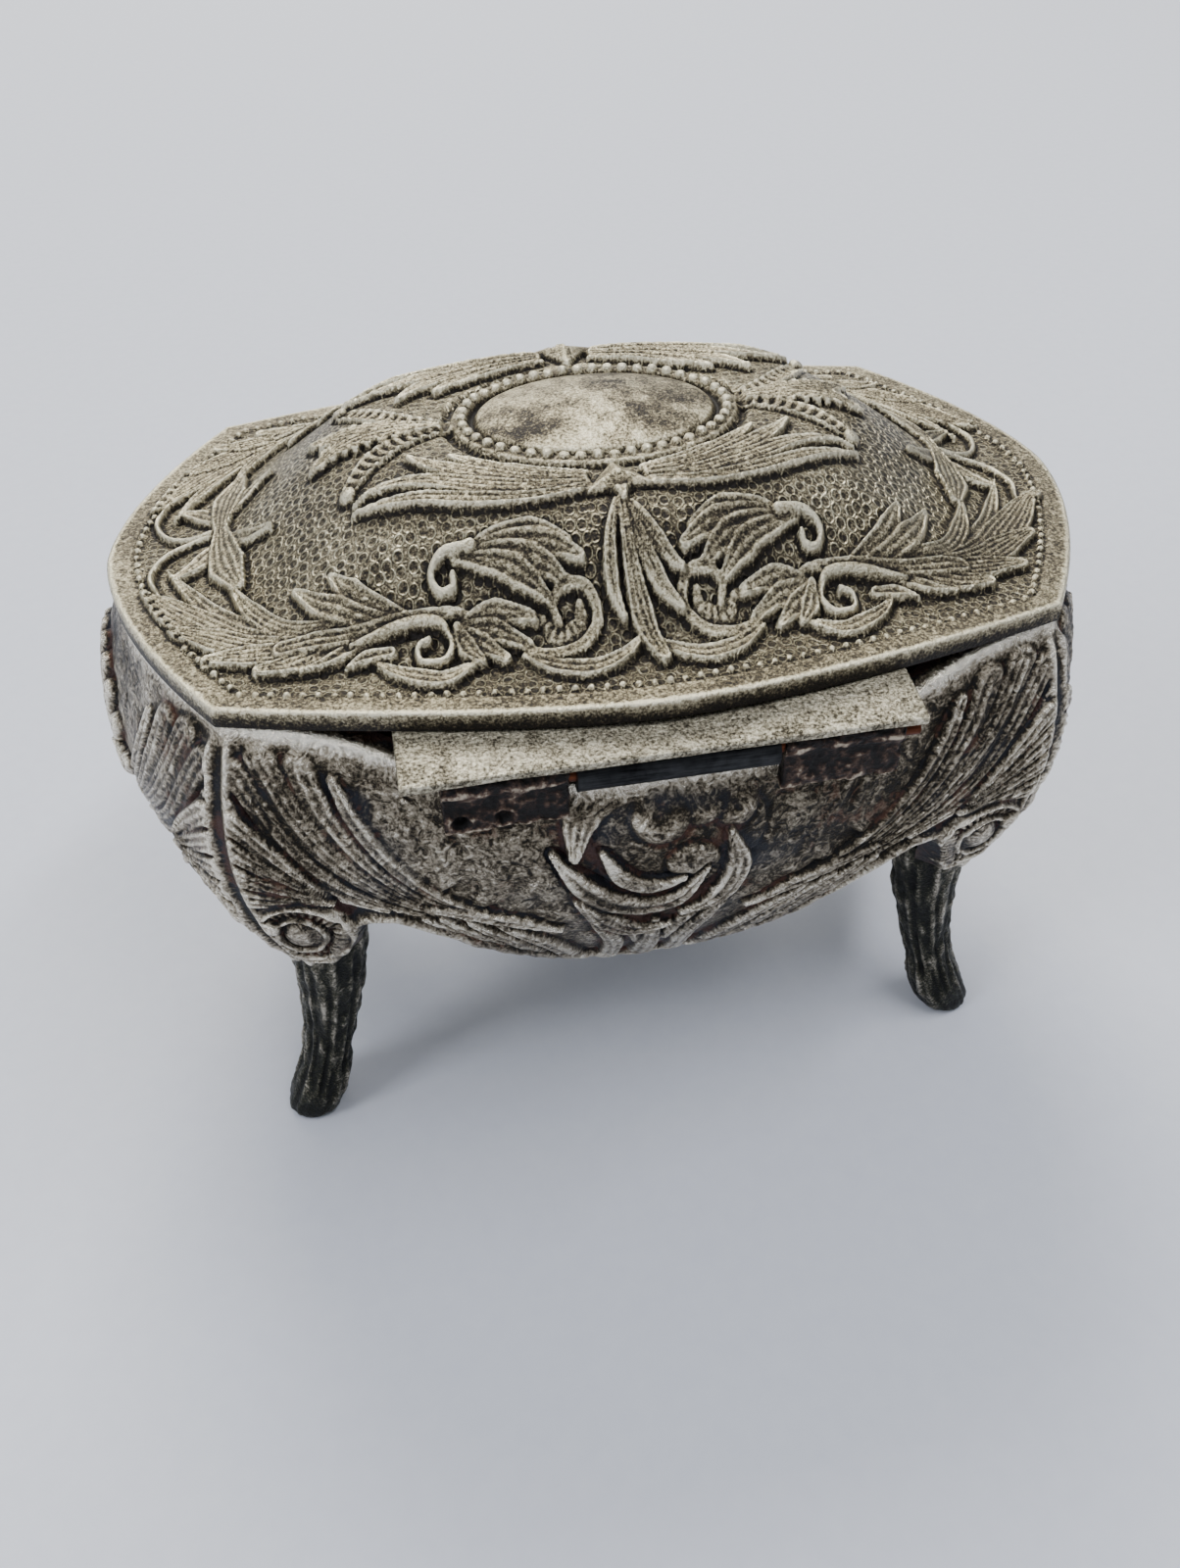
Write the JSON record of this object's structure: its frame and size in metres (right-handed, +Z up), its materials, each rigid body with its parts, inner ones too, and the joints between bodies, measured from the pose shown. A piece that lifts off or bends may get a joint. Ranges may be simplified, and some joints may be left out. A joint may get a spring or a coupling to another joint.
{
  "type": "vanity trinket box",
  "caption": "Footed cast-metal casket with bombe walls, cabriole legs and a domed oval-medallion lid on a pin hinge at the back, velvet lined.",
  "frame": {"origin": "centre of the whole box's footprint, on the table under the feet", "axes": "+Z up, +X along the length to the right seen from the front, +Y towards the hinge at the back"},
  "size_m": [0.1226, 0.0865, 0.0863],
  "materials": {
    "body_casting": "silver plate over cast white metal, tarnished blue-black in the recesses",
    "lid_casting": "aged silver plate over cast white metal, warm grey with brown patina",
    "leg_casting": "worn plate over cast white metal, dark greenish grey",
    "flap_plate": "grainy cast plate, aged silver",
    "hinge_iron": "pitted, dark brown-black",
    "copper_pin": "worn copper plate over wire",
    "floor_sheet": "dull rolled sheet",
    "velvet": "dark red velvet over card"
  },
  "bodies": {
    "casket": {"back_wall": "body_casting", "front_wall": "body_casting", "left_end_wall": "body_casting", "right_end_wall": "body_casting", "floor_plate": "floor_sheet", "leg_back_left": "leg_casting", "leg_back_right": "leg_casting", "leg_front_left": "leg_casting", "leg_front_right": "leg_casting", "hinge_lug_left": "hinge_iron", "hinge_lug_right": "hinge_iron", "hinge_pin": "copper_pin", "floor_pad": "velvet", "lining_back": "velvet", "lining_front": "velvet", "lining_left": "velvet", "lining_right": "velvet"},
    "lid": {"lid_shell": "lid_casting", "hinge_flap": "flap_plate", "hinge_knuckle": "hinge_iron", "lid_pad": "velvet"}
  },
  "joints": [
    {"name": "lid_hinge", "type": "hinge", "parent": "casket", "child": "lid", "pos_m": [0, 0.04115, 0.0661], "axis": [-1, 0, 0], "range_deg": [0, 100]}
  ]
}
